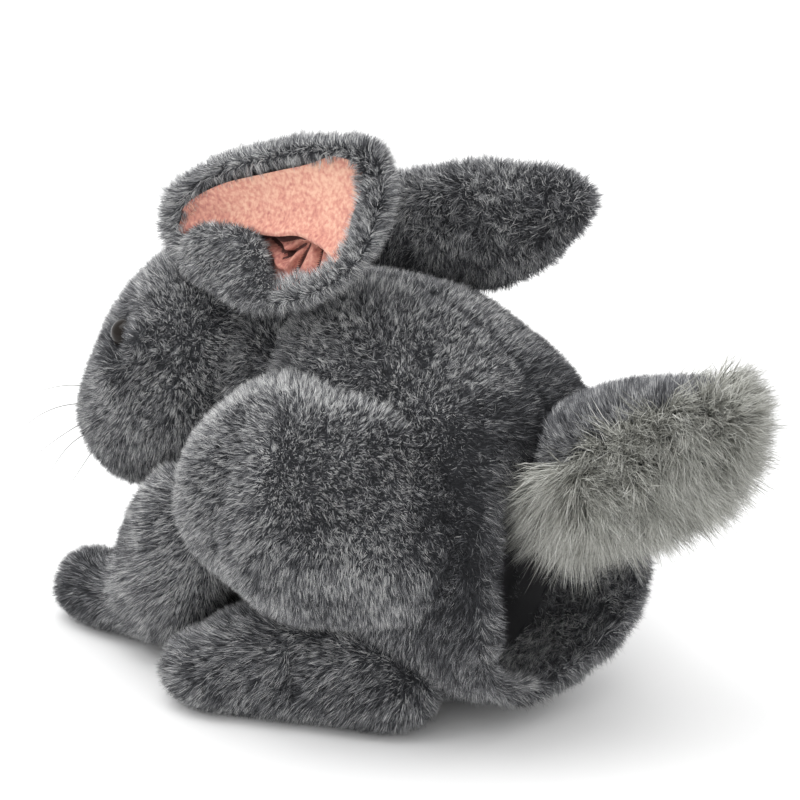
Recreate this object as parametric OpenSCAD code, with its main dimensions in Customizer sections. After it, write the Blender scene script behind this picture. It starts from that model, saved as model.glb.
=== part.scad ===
// Plush rabbit hand puppet, crouching, with a lined hand opening under the tail.
// The nose points to -Y, the rabbit's left side is +X, and Z is up.
// Soft pieces end at the cloth backing of the pile, so the pile itself stands a few mm proud.

/* [Body] */
// Half the width of the body at its widest
body_half_w = 66; // [60:1:70]
// Height of the top of the back
back_top = 181; // [172:1:188]
// Height of the belly above the surface that the toy sits on
belly_clear = 3; // [2:1:6]
// Thickness of the plush cloth
plush_t = 3; // [2:0.5:3.5]
// Thickness of the padding between the plush and the hand lining
padding_t = 5; // [3:1:6]
// Thickness of the hand lining
lining_t = 1.2; // [0.8:0.2:1.6]
// How far a thigh pouch stands off the side of the body
thigh_bulge = 27; // [20:1:30]

/* [Head] */
// Half the width of the head
head_half_w = 47; // [43:1:49]
// Radius of the finger pocket in the head
head_pocket_r = 11.2; // [9:0.2:12]
// Radius of an eye
eye_r = 6.5; // [5:0.5:8]
// Length of the longest whisker
whisker_len = 46; // [30:1:48]

/* [Ears] */
// Length of the left ear, which stands up and is folded over at its tip
ear_left_len = 118; // [100:1:122]
// Half the width of the left ear, spread open
ear_left_half_w = 33; // [28:1:35]
// Length of the right ear, which lies back
ear_right_len = 150; // [120:1:156]
// Half the width of the right ear, cupped
ear_right_half_w = 24; // [20:1:25]

/* [Limbs] */
// Radius of a foreleg at the elbow
foreleg_r = 16; // [13:1:17]
// Radius of the finger pocket in a foreleg
foreleg_pocket_r = 8; // [7:0.5:9]
// Half the width of a hind foot at the toes
foot_half_w = 18; // [14:1:19]
// Height of a hind foot at the toes
foot_h = 33; // [26:1:35]

/* [Tail] */
// Half the width of the tail
tail_half_w = 30; // [24:1:34]

/* [Hidden] */

// Colours
fur_grey = [0.30, 0.31, 0.33];
fur_pale = [0.60, 0.60, 0.57];
lining_black = [0.06, 0.06, 0.07];
velour_pink = [0.85, 0.62, 0.56];
stuffing_white = [0.93, 0.93, 0.90];
eye_brown = [0.08, 0.05, 0.04];
washer_white = [0.85, 0.85, 0.83];
nose_rose = [0.45, 0.33, 0.32];
thread_grey = [0.20, 0.20, 0.22];
whisker_clear = [0.88, 0.87, 0.83];

// Gap between pieces that lie against each other
gap = 0.2;
// Gap between a stuffing and the curved cloth round it
soft_gap = 0.9;
// Angle left open at a seam between two panels
seam_a = 0.3;

// Body: [y, [half width, bottom z, top z]] from the neck hole to the hand opening
body_stations = [
    [-29, [24, 94, 142]],
    [-26, [38, 70, 155]],
    [-18, [body_half_w - 16, 38, back_top - 14]],
    [-4, [body_half_w - 6, belly_clear + 11, back_top - 4]],
    [16, [body_half_w, belly_clear + 1, back_top]],
    [38, [body_half_w, belly_clear, back_top - 3]],
    [60, [body_half_w - 2, belly_clear + 3, back_top - 12]],
    [80, [body_half_w - 6, belly_clear + 9, back_top - 28]],
    [95, [body_half_w - 9, belly_clear + 16, back_top - 50]],
    [106, [body_half_w - 14, belly_clear + 23, back_top - 97]]
];
body_rows = [-29, -26, -21, -12, 0, 14, 28, 42, 56, 69, 80, 90, 98, 106];
belly_a = 30;         // half the angle that the belly panel takes
spine_a = 2;          // half the angle that the spine seam takes
hem_depth = 4.5;

// Head: [y, [half width, bottom z, top z]] from the neck hole to the muzzle
head_stations = [
    [-135, [23, 75, 126]],
    [-126, [32, 70, 143]],
    [-114, [head_half_w - 7, 69, 161]],
    [-100, [head_half_w - 2, 73, 175]],
    [-84, [head_half_w, 76, 182]],
    [-66, [head_half_w - 2, 80, 179]],
    [-52, [head_half_w - 9, 87, 170]],
    [-42, [26, 97, 154]],
    [-38, [13.4, 106.6, 133.4]]
];
head_rows = [-38, -40, -44, -50, -58, -68, -80, -92, -104, -115, -125, -135];
head_z = 120;         // height of the finger pocket's axis
pocket_end = -86;
gusset_a = 15;        // half the angle that the gusset over the skull takes
muzzle_tip = -141;

// Neck sleeve
neck_y = -32;
neck_z = 118;

// Thigh pouch: centre and half sizes along Y and Z
thigh_y = 18;
thigh_z = 95;
thigh_ry = 52;
thigh_rz = 54;
thigh_flank = -6;     // forward of this the pouch keeps the width of the body's flank

// Foreleg path from the shoulder to the paw tip: [station, [x, y, z, half width, half height]]
foreleg_path = [
    [0, [40, -52, 58, foreleg_r - 3, foreleg_r - 3]],
    [1, [40, -61, 46, foreleg_r, foreleg_r - 1]],
    [2, [39, -74, 31, foreleg_r + 1, foreleg_r]],
    [3, [37, -92, 20, foreleg_r + 1, foreleg_r - 1]],
    [4, [35, -112, 14, foreleg_r + 1, foreleg_r - 1.5]],
    [5, [34, -129, 12.5, foreleg_r - 1, foreleg_r - 2.5]],
    [6, [34, -139, 12, foreleg_r - 8, foreleg_r - 8]]
];

// Hind foot path from the heel to the toes: [station, [x, y, z, half width, half height]]
foot_path = [
    [0, [46, 56, 10, 6, 6]],
    [1, [48.5, 50, 10.5, foot_half_w - 5, 11]],
    [2, [55, 34, 12, foot_half_w - 2, 13]],
    [3, [64, 11, 14, foot_half_w, 15.5]],
    [4, [72.5, -10, foot_h / 2 - 0.5, foot_half_w + 0.5, foot_h / 2 + 0.5]],
    [5, [78.5, -27, foot_h / 2 - 0.5, foot_half_w, foot_h / 2]],
    [6, [82, -38, foot_h / 2 - 1, foot_half_w - 5, foot_h / 2 - 5]],
    [7, [83.5, -43, foot_h / 2 - 2, 5, 5]]
];

// Tail: [y, [half width, middle z, half height]] from the root to the tip
tail_stations = [
    [107, [tail_half_w - 4, 122, 30]],
    [122, [tail_half_w, 128, 36]],
    [145, [tail_half_w + 1, 137, 37]],
    [168, [tail_half_w - 4, 148, 30]],
    [184, [tail_half_w - 12, 157, 20]],
    [195, [6, 163, 7]]
];
tail_rows = [107, 113, 121, 132, 145, 158, 170, 180, 188, 195];
tail_skin_t = 4;
tail_band_a = 38;     // half the angle that the dark top band takes

// Ears: base point, direction of its length and direction of its width
ear_left_base = [30, -68, 183];
ear_left_dir = [0.02, 0.87, 0.48];
ear_left_up = [-0.36, -0.44, 0.83];
ear_right_base = [-25, -53, 182.5];
ear_right_dir = [-0.10, 0.96, 0.24];
ear_right_up = [0.12, -0.20, 0.97];
// Share of the full width along the ear
ear_widths = [[0, 0.38], [0.2, 0.74], [0.45, 0.98], [0.7, 1], [0.88, 0.84], [1, 0.42]];
ear_back_t = 4;
ear_lining_t = 1.4;

// The stations are measured from the middle of the back. This puts the origin under the
// middle of the whole toy, from the front of the nose to the tip of the tail.
nose_t = 2;
tail_tip = tail_stations[len(tail_stations) - 1][0];
centre_shift = -(muzzle_tip - gap - nose_t + tail_tip) / 2;

// ---- shape helpers ----

function seg(t, v, i = 0) = i >= len(t) - 2 || v <= t[i + 1][0] ? i : seg(t, v, i + 1);
// Smooth curve through a table of [position, value or vector]
function spline(t, v) =
    let (i = seg(t, v), a = t[max(i - 1, 0)], b = t[i], c = t[i + 1], d = t[min(i + 2, len(t) - 1)],
         h = c[0] - b[0], u = (v - b[0]) / h,
         m1 = (c[1] - a[1]) * h / (c[0] - a[0]), m2 = (d[1] - b[1]) * h / (d[0] - b[0]))
    (2 * pow(u, 3) - 3 * u * u + 1) * b[1] + (pow(u, 3) - 2 * u * u + u) * m1
    + (3 * u * u - 2 * pow(u, 3)) * c[1] + (pow(u, 3) - u * u) * m2;
function unit(v) = v / norm(v);
function span(a, b, n) = [for (i = [0:n]) a + (b - a) * i / n];
function mirror_x(p) = [-p[0], p[1], p[2]];
function reversed(list) = [for (i = [len(list) - 1:-1:0]) list[i]];

// Closed solid through rings of points; "joined" links the last ring back to the first
module rings_solid(rings, joined = false) {
    n = len(rings[0]);
    m = len(rings);
    last = joined ? m - 1 : m - 2;
    pts = [for (r = rings) each r];
    walls = [for (i = [0:last]) for (j = [0:n - 1])
        let (k = (j + 1) % n, q = (i + 1) % m)
        each [[i * n + j, i * n + k, q * n + k], [i * n + j, q * n + k, q * n + j]]];
    caps = joined ? [] : [[for (j = [n - 1:-1:0]) j], [for (j = [0:n - 1]) (m - 1) * n + j]];
    polyhedron(points = pts, faces = concat(walls, caps), convexity = 6);
}

// Closed sheet between two grids of points of the same size
module slab(top, under) {
    m = len(top);
    n = len(top[0]);
    k = m * n;
    pts = concat([for (r = top) each r], [for (r = under) each r]);
    skin = [for (i = [0:m - 2]) for (j = [0:n - 2]) let (a = i * n + j, b = a + 1, c = a + n, d = c + 1)
        each [[a, b, d], [a, d, c], [k + a, k + d, k + b], [k + a, k + c, k + d]]];
    ends = [for (j = [0:n - 2]) let (a = j, c = (m - 1) * n + j)
        each [[a, k + a, k + a + 1], [a, k + a + 1, a + 1],
              [c, c + 1, k + c + 1], [c, k + c + 1, k + c]]];
    sides = [for (i = [0:m - 2]) let (a = i * n, b = a + n, c = a + n - 1, d = c + n)
        each [[a, b, k + b], [a, k + b, k + a], [c, k + c, k + d], [c, k + d, d]]];
    polyhedron(points = pts, faces = concat(skin, ends, sides), convexity = 6);
}

// ---- body ----

function body_pt(y, a, inset) =
    let (r = spline(body_stations, y))
    [(r[0] - inset) * cos(a), y, (r[1] + r[2]) / 2 + ((r[2] - r[1]) / 2 - inset) * sin(a)];
function body_side(y, z) =
    let (r = spline(body_stations, y), h = (r[2] - r[1]) / 2, k = (z - r[1] - h) / h)
    r[0] * sqrt(max(0, 1 - k * k));

module body_sheet(a0, a1, n, out, t) {
    slab([for (y = body_rows) [for (a = span(a0, a1, n)) body_pt(y, a, out)]],
         [for (y = body_rows) [for (a = span(a0, a1, n)) body_pt(y, a, out + t)]]);
}

module body_panel_left() color(fur_grey)
    body_sheet(belly_a - 90 + seam_a, 90 - spine_a - seam_a, 12, 0, plush_t);
module body_panel_right() color(fur_grey)
    body_sheet(90 + spine_a + seam_a, 270 - belly_a - seam_a, 12, 0, plush_t);
module spine_seam() color(thread_grey)
    body_sheet(90 - spine_a, 90 + spine_a, 1, 0.6, plush_t - 0.6);
module belly_panel() color(fur_grey)
    body_sheet(270 - belly_a, 270 + belly_a, 5, 0, plush_t);
module body_padding() color(stuffing_white)
    body_sheet(belly_a - 90, 270 - belly_a, 20, plush_t + soft_gap, padding_t);

lining_out = plush_t + padding_t + 2 * soft_gap;
module hand_lining() color(lining_black) {
    n = 24;
    ring = [for (i = [0:n - 1]) i * 360 / n];
    rings_solid(concat(
        [for (y = body_rows) [for (a = ring) body_pt(y, a, lining_out)]],
        [for (y = reversed(body_rows)) [for (a = ring) body_pt(y, a, lining_out + lining_t)]]
    ), joined = true);
}

mouth_y = body_stations[len(body_stations) - 1][0];
function hem_ring(y, inset) =
    [for (a = [0:11.25:348.75]) let (p = body_pt(mouth_y, a, inset)) [p[0], y, p[2]]];
module opening_hem() color(lining_black) {
    front = mouth_y + gap;
    back = mouth_y + hem_depth;
    rings_solid([hem_ring(front, 0), hem_ring(back - 1.5, 0), hem_ring(back, 2), hem_ring(back, 4.5),
                 hem_ring(back - 1.5, 6), hem_ring(front, 6)], joined = true);
}

// Bib between the forelegs, under the chin
module chest_panel() color(fur_grey) {
    n = 18;
    chest = [
        [-86, [7, 20, 5]], [-83, [15, 22, 12]], [-74, [21, 25, 20]], [-60, [24, 28, 24]],
        [-46, [24, 30, 25]], [-36, [20, 34, 20]], [-31, [10, 36, 10]]
    ];
    rings_solid([for (c = chest) [for (i = [0:n - 1]) let (a = i * 360 / n)
        [c[1][0] * cos(a), c[0], c[1][1] + c[1][2] * sin(a)]]]);
}

// ---- thighs ----

// A square of -1..1 spread over a disc, so the pouch has no pole
function disc(s, t) = [s * sqrt(1 - t * t / 2), t * sqrt(1 - s * s / 2)];
function thigh_pt(s, t, size, off, share) =
    let (d = disc(s, t), y = thigh_y + thigh_ry * size * d[0], z = thigh_z + thigh_rz * size * d[1],
         k = size * size * (d[0] * d[0] + d[1] * d[1]))
    [body_side(max(y, thigh_flank), z) + off + share * thigh_bulge * sqrt(max(0, 1 - k)), y, z];
function thigh_grid(size, off, share, n) =
    [for (s = span(-1, 1, n)) [for (t = span(-1, 1, n)) thigh_pt(s, t, size, off, share)]];

module thigh(side) color(fur_grey) mirror([side < 0 ? 1 : 0, 0, 0])
    slab(thigh_grid(1, 1 + plush_t, 1, 12), thigh_grid(1, 1, 1, 12));
module thigh_stuffing(side) color(stuffing_white) mirror([side < 0 ? 1 : 0, 0, 0])
    slab(thigh_grid(0.9, -soft_gap, 0.9, 12), thigh_grid(0.9, soft_gap, 0, 12));
module thigh_left() thigh(1);
module thigh_right() thigh(-1);
module thigh_stuffing_left() thigh_stuffing(1);
module thigh_stuffing_right() thigh_stuffing(-1);

// ---- head ----

function head_pt(y, a, inset) =
    let (r = spline(head_stations, y))
    [(r[0] - inset) * cos(a), y, (r[1] + r[2]) / 2 + ((r[2] - r[1]) / 2 - inset) * sin(a)];
module head_sheet(a0, a1, n) {
    slab([for (y = head_rows) [for (a = span(a0, a1, n)) head_pt(y, a, plush_t)]],
         [for (y = head_rows) [for (a = span(a0, a1, n)) head_pt(y, a, 0)]]);
}
module head_panel_left() color(fur_grey) head_sheet(-90 + seam_a, 90 - gusset_a - seam_a, 12);
module head_panel_right() color(fur_grey) head_sheet(90 + gusset_a + seam_a, 270 - seam_a, 12);
module head_gusset() color(fur_grey) head_sheet(90 - gusset_a, 90 + gusset_a, 3);

head_ring = [for (i = [0:19]) i * 18];
muzzle_y = head_stations[0][0];
muzzle_z = (head_stations[0][1][1] + head_stations[0][1][2]) / 2;
function muzzle_ring(y, k) =
    [for (a = head_ring) let (p = head_pt(muzzle_y, a, 0))
        [p[0] * k, y, muzzle_z + (p[2] - muzzle_z) * k]];
module muzzle_patch() color(fur_grey)
    rings_solid([muzzle_ring(muzzle_tip, 0.3), muzzle_ring(muzzle_tip + 1.5, 0.65),
                 muzzle_ring(muzzle_y - 2, 0.9), muzzle_ring(muzzle_y - gap, 1)]);

function bore_ring(y, r) = [for (a = head_ring) [r * cos(a), y, head_z + r * sin(a)]];
function stuffing_ring(y) = [for (a = head_ring) head_pt(y, a, plush_t + 2 * soft_gap)];
module head_stuffing() color(stuffing_white) {
    r = head_pocket_r + 0.6;
    rings_solid(concat(
        [for (y = [-134, -127, -117, -106, -94, -82, -70, -60, -52, -46, -42]) stuffing_ring(y)],
        [bore_ring(-42, r), bore_ring(-45, r), bore_ring(pocket_end + 4, r)],
        [bore_ring(pocket_end, r * 0.8), bore_ring(pocket_end - 2, 2)]
    ));
}

// Lined finger pocket, open to the back
head_pocket_depth = 43;
module head_pocket() color(lining_black)
    translate([0, pocket_end + 2, head_z]) rotate([-90, 0, 0]) rotate_extrude($fn = 48) {
        r = head_pocket_r;
        t = lining_t;
        depth = head_pocket_depth;
        polygon([[0, 0], [r - 3, 0], [r, 4], [r, depth],
                 [r - t, depth], [r - t, 4.6], [r - 3.6, t], [0, t]]);
    }

module nose() color(nose_rose)
    translate([0, muzzle_tip - gap, 106]) rotate([90, 0, 0]) linear_extrude(nose_t)
        offset(r = 1.5, $fn = 24) polygon([[-4.5, 3], [4.5, 3], [0, -2.5]]);

// Mouth line worked in thread below the nose
module mouth_stitch() color(thread_grey)
    translate([0, muzzle_tip - gap, 97]) rotate([90, 0, 0]) linear_extrude(1) {
        translate([-0.5, -0.5]) square([1, 5]);
        for (s = [-1, 1]) rotate(s * 55) translate([-0.5, -5]) square([1, 5]);
    }

// Eyes sit on posts that pass through the cloth and are held by a washer behind it
eye_at = [41.2, -100, 148];
eye_out = [0.90, -0.25, 0.34];
module at_eye(side) {
    p = side > 0 ? eye_at : mirror_x(eye_at);
    d = unit(side > 0 ? eye_out : mirror_x(eye_out));
    translate(p) rotate([0, acos(d[2]), atan2(d[1], d[0])]) children();
}
module eye(side) color(eye_brown) at_eye(side) {
    intersection() {
        translate([0, 0, -eye_r * 0.25]) sphere(r = eye_r, $fn = 48);
        translate([-eye_r, -eye_r, 0]) cube([2 * eye_r, 2 * eye_r, eye_r]);
    }
    translate([0, 0, -9]) cylinder(r = 1.6, h = 9.5, $fn = 24);
}
module eye_washer(side) color(washer_white) at_eye(side)
    translate([0, 0, -7.5]) difference() {
        cylinder(r = 6, h = 1.2, $fn = 32);
        translate([0, 0, -1]) cylinder(r = 1.6, h = 4, $fn = 24);
    }
module eye_left() eye(1);
module eye_right() eye(-1);
module eye_washer_left() eye_washer(1);
module eye_washer_right() eye_washer(-1);

// Whiskers: [root, direction, length share] for each strand on the left cheek
whisker_set = [
    [[24, -131, 108], [0.86, -0.20, 0.40], 0.86], [[25.5, -130, 102], [0.95, -0.16, 0.18], 1],
    [[26, -129, 96], [0.93, -0.10, 0.02], 0.94], [[25.5, -128, 91], [0.88, -0.05, -0.16], 0.82],
    [[24, -128, 86], [0.80, -0.02, -0.30], 0.66]
];
module whiskers(side) color(whisker_clear) {
    n = 5;
    for (w = whisker_set) {
        d = unit(w[1]);
        long = whisker_len * w[2];
        rings_solid([for (u = span(0, 1, 5))
            let (p = w[0] + d * long * u + [0, 0, -8] * u * u, r = 0.45 - 0.25 * u)
            [for (i = [0:n - 1]) let (a = -side * i * 360 / n)
                [side * p[0], p[1] + r * cos(a), p[2] + r * sin(a)]]]);
    }
}
module whiskers_left() whiskers(1);
module whiskers_right() whiskers(-1);

// Ring of lining at the neck that the index finger goes through
module neck_sleeve() color(lining_black)
    translate([0, neck_y, neck_z]) rotate([90, 0, 0])
        rotate_extrude($fn = 48) translate([11, 0]) circle(r = 1.7, $fn = 24);

// ---- ears ----

function ear_pt(base, dir, up, long, half, cup, s, t, off) =
    let (l = unit(dir), w = unit(up - l * (up * l)), side = sign(base[0]),
         h = half * spline(ear_widths, s))
    base + l * long * s + w * h * t + [side, 0, 0] * (cup * t * t * spline(ear_widths, s) + off);
module ear_sheet(base, dir, up, long, half, cup, off, t) {
    rows = span(0, 1, 9);
    cols = span(-1, 1, 8);
    a = [for (s = rows) [for (c = cols) ear_pt(base, dir, up, long, half, cup, s, c, off)]];
    b = [for (s = rows) [for (c = cols) ear_pt(base, dir, up, long, half, cup, s, c, off + t)]];
    if (base[0] > 0) slab(b, a); else slab(a, b);
}
module ear_left(shorter, narrower, cup, off, t)
    ear_sheet(ear_left_base, ear_left_dir, ear_left_up, ear_left_len - shorter,
              ear_left_half_w - narrower, cup, off, t);
module ear_right(shorter, narrower, cup, off, t)
    ear_sheet(ear_right_base, ear_right_dir, ear_right_up, ear_right_len - shorter,
              ear_right_half_w - narrower, cup, off, t);
module ear_back_left() color(fur_grey) ear_left(0, 0, 10, 0, ear_back_t);
module ear_lining_left() color(velour_pink) ear_left(6, 5, 8, ear_back_t + gap, ear_lining_t);
module ear_back_right() color(fur_grey) ear_right(0, 0, 16, 0, ear_back_t);
module ear_lining_right() color(velour_pink) ear_right(6, 4, 12, ear_back_t + gap, ear_lining_t);

// ---- limbs ----

// Ring across a limb path at station s, kept above the surface the toy sits on
function limb_ring(path, s, inset, n) =
    let (p = spline(path, s), q = spline(path, max(0, s - 0.05)),
         r = spline(path, min(len(path) - 1, s + 0.05)),
         d = unit([r[0] - q[0], r[1] - q[1], r[2] - q[2]]),
         x = unit(cross(d, [0, 0, 1])), u = cross(x, d),
         w = max(1.2, p[3] - inset), h = max(1.2, p[4] - inset))
    [for (i = [0:n - 1]) let (a = i * 360 / n, c = [p[0], p[1], p[2]] + x * w * cos(a) + u * h * sin(a))
        [c[0], c[1], max(c[2], max(0, inset))]];
function limb_rings(path, s0, s1, k, inset, n) =
    [for (s = span(s0, s1, k)) limb_ring(path, s, inset, n)];
// Round ring about the middle of the foreleg
foreleg_middle = [for (p = foreleg_path) [p[0], [p[1][0], p[1][1], p[1][2]]]];
function pocket_ring(s, r, n) =
    limb_ring([for (p = foreleg_middle) [p[0], concat(p[1], [r, r])]], s, 0, n);

module foreleg_skin() {
    n = 18;
    rings_solid(concat(
        [limb_ring(foreleg_path, 5.75, plush_t, n)],
        limb_rings(foreleg_path, 5.5, 0, 9, plush_t, n),
        limb_rings(foreleg_path, 0, 6, 12, 0, n)));
}
module foreleg_stuffing() {
    n = 16;
    inside = plush_t + soft_gap;
    rings_solid(concat(
        [pocket_ring(3, 3, n), pocket_ring(2.85, foreleg_pocket_r + 2 * gap, n)],
        [for (s = [2.2, 1.6, 1, 0.5, 0.06]) pocket_ring(s, foreleg_pocket_r + 2 * gap, n)],
        [limb_ring(foreleg_path, 0.06, inside, n)],
        limb_rings(foreleg_path, 0.5, 5.3, 9, inside, n)));
}
module foreleg_pocket() {
    n = 16;
    out = foreleg_pocket_r;
    rings_solid(concat(
        [pocket_ring(2.7, 3, n), pocket_ring(2.6, out - lining_t, n)],
        [for (s = [2.2, 1.6, 1, 0.5, 0.08]) pocket_ring(s, out - lining_t, n)],
        [for (s = [0.08, 0.5, 1, 1.6, 2.2, 2.6]) pocket_ring(s, out, n)],
        [pocket_ring(2.78, out - 0.8, n)]));
}
module foreleg_skin_left() color(fur_grey) foreleg_skin();
module foreleg_skin_right() color(fur_grey) mirror([1, 0, 0]) foreleg_skin();
module foreleg_stuffing_left() color(stuffing_white) foreleg_stuffing();
module foreleg_stuffing_right() color(stuffing_white) mirror([1, 0, 0]) foreleg_stuffing();
module foreleg_pocket_left() color(lining_black) foreleg_pocket();
module foreleg_pocket_right() color(lining_black) mirror([1, 0, 0]) foreleg_pocket();

// The foot's skin is gathered round a small filling hole at the heel
module foot_skin() {
    n = 18;
    rings_solid(concat(
        [limb_ring(foot_path, 6.7, plush_t, n)],
        limb_rings(foot_path, 6.4, 0, 9, plush_t, n),
        limb_rings(foot_path, 0, 7, 12, 0, n)));
}
module foot_stuffing() rings_solid(limb_rings(foot_path, 0.4, 6.1, 9, plush_t + soft_gap, 16));
module foot_skin_left() color(fur_grey) foot_skin();
module foot_skin_right() color(fur_grey) mirror([1, 0, 0]) foot_skin();
module foot_stuffing_left() color(stuffing_white) foot_stuffing();
module foot_stuffing_right() color(stuffing_white) mirror([1, 0, 0]) foot_stuffing();

// ---- tail ----

function tail_pt(y, a, inset) =
    let (r = spline(tail_stations, y))
    [max(1.5, r[0] - inset) * cos(a), y, r[1] + max(1.5, r[2] - inset) * sin(a)];
module tail_sheet(a0, a1, n) {
    slab([for (y = tail_rows) [for (a = span(a0, a1, n)) tail_pt(y, a, 0)]],
         [for (y = tail_rows) [for (a = span(a0, a1, n)) tail_pt(y, a, tail_skin_t)]]);
}
module tail_top() color(fur_grey) tail_sheet(90 - tail_band_a, 90 + tail_band_a, 5);
module tail_underside() color(fur_pale) tail_sheet(90 + tail_band_a + 1, 450 - tail_band_a - 1, 16);
module tail_stuffing() color(stuffing_white) {
    n = 16;
    rings_solid([for (i = [0:len(tail_rows) - 2])
        [for (j = [0:n - 1]) tail_pt(tail_rows[i], j * 360 / n, tail_skin_t + soft_gap)]]);
}

module placed() translate([0, centre_shift, 0]) children();
placed() body_panel_left();
placed() body_panel_right();
placed() spine_seam();
placed() belly_panel();
placed() chest_panel();
placed() body_padding();
placed() hand_lining();
placed() opening_hem();
placed() thigh_left();
placed() thigh_right();
placed() thigh_stuffing_left();
placed() thigh_stuffing_right();
placed() neck_sleeve();
placed() head_panel_left();
placed() head_panel_right();
placed() head_gusset();
placed() muzzle_patch();
placed() head_stuffing();
placed() head_pocket();
placed() nose();
placed() mouth_stitch();
placed() eye_left();
placed() eye_right();
placed() eye_washer_left();
placed() eye_washer_right();
placed() whiskers_left();
placed() whiskers_right();
placed() ear_back_left();
placed() ear_lining_left();
placed() ear_back_right();
placed() ear_lining_right();
placed() foreleg_skin_left();
placed() foreleg_stuffing_left();
placed() foreleg_pocket_left();
placed() foreleg_skin_right();
placed() foreleg_stuffing_right();
placed() foreleg_pocket_right();
placed() foot_skin_left();
placed() foot_stuffing_left();
placed() foot_skin_right();
placed() foot_stuffing_right();
placed() tail_top();
placed() tail_underside();
placed() tail_stuffing();
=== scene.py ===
# Looks of the plush rabbit hand puppet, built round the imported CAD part.
# Lengths in the tables are in mm. Their Y is measured from the middle of the back, as in the CAD,
# and SHIFT carries it to the row frame.
import math

import bpy
import numpy as np
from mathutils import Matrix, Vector, kdtree


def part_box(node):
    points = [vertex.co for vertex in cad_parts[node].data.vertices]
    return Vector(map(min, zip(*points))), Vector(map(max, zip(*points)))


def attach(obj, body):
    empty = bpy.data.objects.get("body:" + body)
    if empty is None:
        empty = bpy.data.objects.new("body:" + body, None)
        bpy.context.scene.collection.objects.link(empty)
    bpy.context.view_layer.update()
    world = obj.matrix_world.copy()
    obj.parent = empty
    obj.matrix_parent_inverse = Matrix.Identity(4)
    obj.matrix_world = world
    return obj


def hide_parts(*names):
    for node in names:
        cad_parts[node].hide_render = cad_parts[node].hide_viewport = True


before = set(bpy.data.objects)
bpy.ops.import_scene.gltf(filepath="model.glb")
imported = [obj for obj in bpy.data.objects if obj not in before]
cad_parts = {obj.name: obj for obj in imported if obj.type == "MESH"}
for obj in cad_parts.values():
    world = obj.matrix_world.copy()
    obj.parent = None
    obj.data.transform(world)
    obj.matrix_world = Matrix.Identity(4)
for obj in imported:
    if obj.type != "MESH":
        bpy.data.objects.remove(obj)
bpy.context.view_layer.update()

MM = 0.001
NOSE_FRONT = -143.2     # the tip of the nose in the tables
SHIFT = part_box("nose")[0].y / MM - NOSE_FRONT
FLOOR_GAP = 0.25        # the lowest that a strand may hang
TRIANGLES_A_PIECE = 180000
BOTH_SIDES = ((1, "left"), (-1, "right"))
rng = np.random.default_rng(11)


# ---------------------------------------------------------------- numbers

def unit(v):
    v = np.asarray(v, float)
    return v / np.maximum(np.linalg.norm(v, axis=-1, keepdims=True), 1e-9)


def curve(table, at):
    """Smooth curve through rows of [position, values...]; the same curve as the CAD's."""
    t = np.array(table, float)
    x, y = t[:, 0], t[:, 1:]
    at = np.clip(np.asarray(at, float), x[0], x[-1])
    i = np.clip(np.searchsorted(x, at, side="right") - 1, 0, len(x) - 2)
    prev, nxt = np.maximum(np.arange(len(x)) - 1, 0), np.minimum(np.arange(len(x)) + 1, len(x) - 1)
    slope = (y[nxt] - y[prev]) / (x[nxt] - x[prev])[:, None]
    h = (x[i + 1] - x[i])[..., None]
    u = ((at - x[i])[..., None]) / h
    return ((2 * u**3 - 3 * u**2 + 1) * y[i] + (u**3 - 2 * u**2 + u) * h * slope[i]
            + (3 * u**2 - 2 * u**3) * y[i + 1] + (u**3 - u**2) * h * slope[i + 1])


def closed_curve(points, n):
    """n points on a smooth closed curve through the given ones."""
    p = np.array(points, float)
    k = len(p)
    u = np.arange(n) * k / n
    i = u.astype(int)
    f = (u - i)[:, None]
    a, b, c, d = p[(i - 1) % k], p[i % k], p[(i + 1) % k], p[(i + 2) % k]
    return 0.5 * (2 * b + (c - a) * f + (2 * a - 5 * b + 4 * c - d) * f**2
                  + (3 * b - a - 3 * c + d) * f**3)


LATTICE = rng.random((32, 32, 32))


def noise(p, size, seed=0.0):
    """Smooth value noise from 0 to 1 at points p, with features of that size in mm."""
    q = np.asarray(p, float) / size + seed * 7.31
    i = np.floor(q).astype(int)
    f = q - i
    f = f * f * (3 - 2 * f)
    out = 0
    for dx in (0, 1):
        for dy in (0, 1):
            for dz in (0, 1):
                w = (np.where(dx, f[..., 0], 1 - f[..., 0]) * np.where(dy, f[..., 1], 1 - f[..., 1])
                     * np.where(dz, f[..., 2], 1 - f[..., 2]))
                out = out + w * LATTICE[(i[..., 0] + dx) & 31, (i[..., 1] + dy) & 31, (i[..., 2] + dz) & 31]
    return out


def noise3(p, size, seed=0.0):
    return np.stack([noise(p, size, seed + k) - 0.5 for k in (1, 2, 3)], -1) * 2


# ---------------------------------------------------------------- materials

def material(name, colour, rough=0.8, **sockets):
    m = bpy.data.materials.new(name)
    m.use_nodes = True
    b = m.node_tree.nodes["Principled BSDF"]
    b.inputs["Base Color"].default_value = (*colour, 1)
    b.inputs["Roughness"].default_value = rough
    for key, value in sockets.items():
        b.inputs[key.replace("_", " ")].default_value = value
    return m


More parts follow.
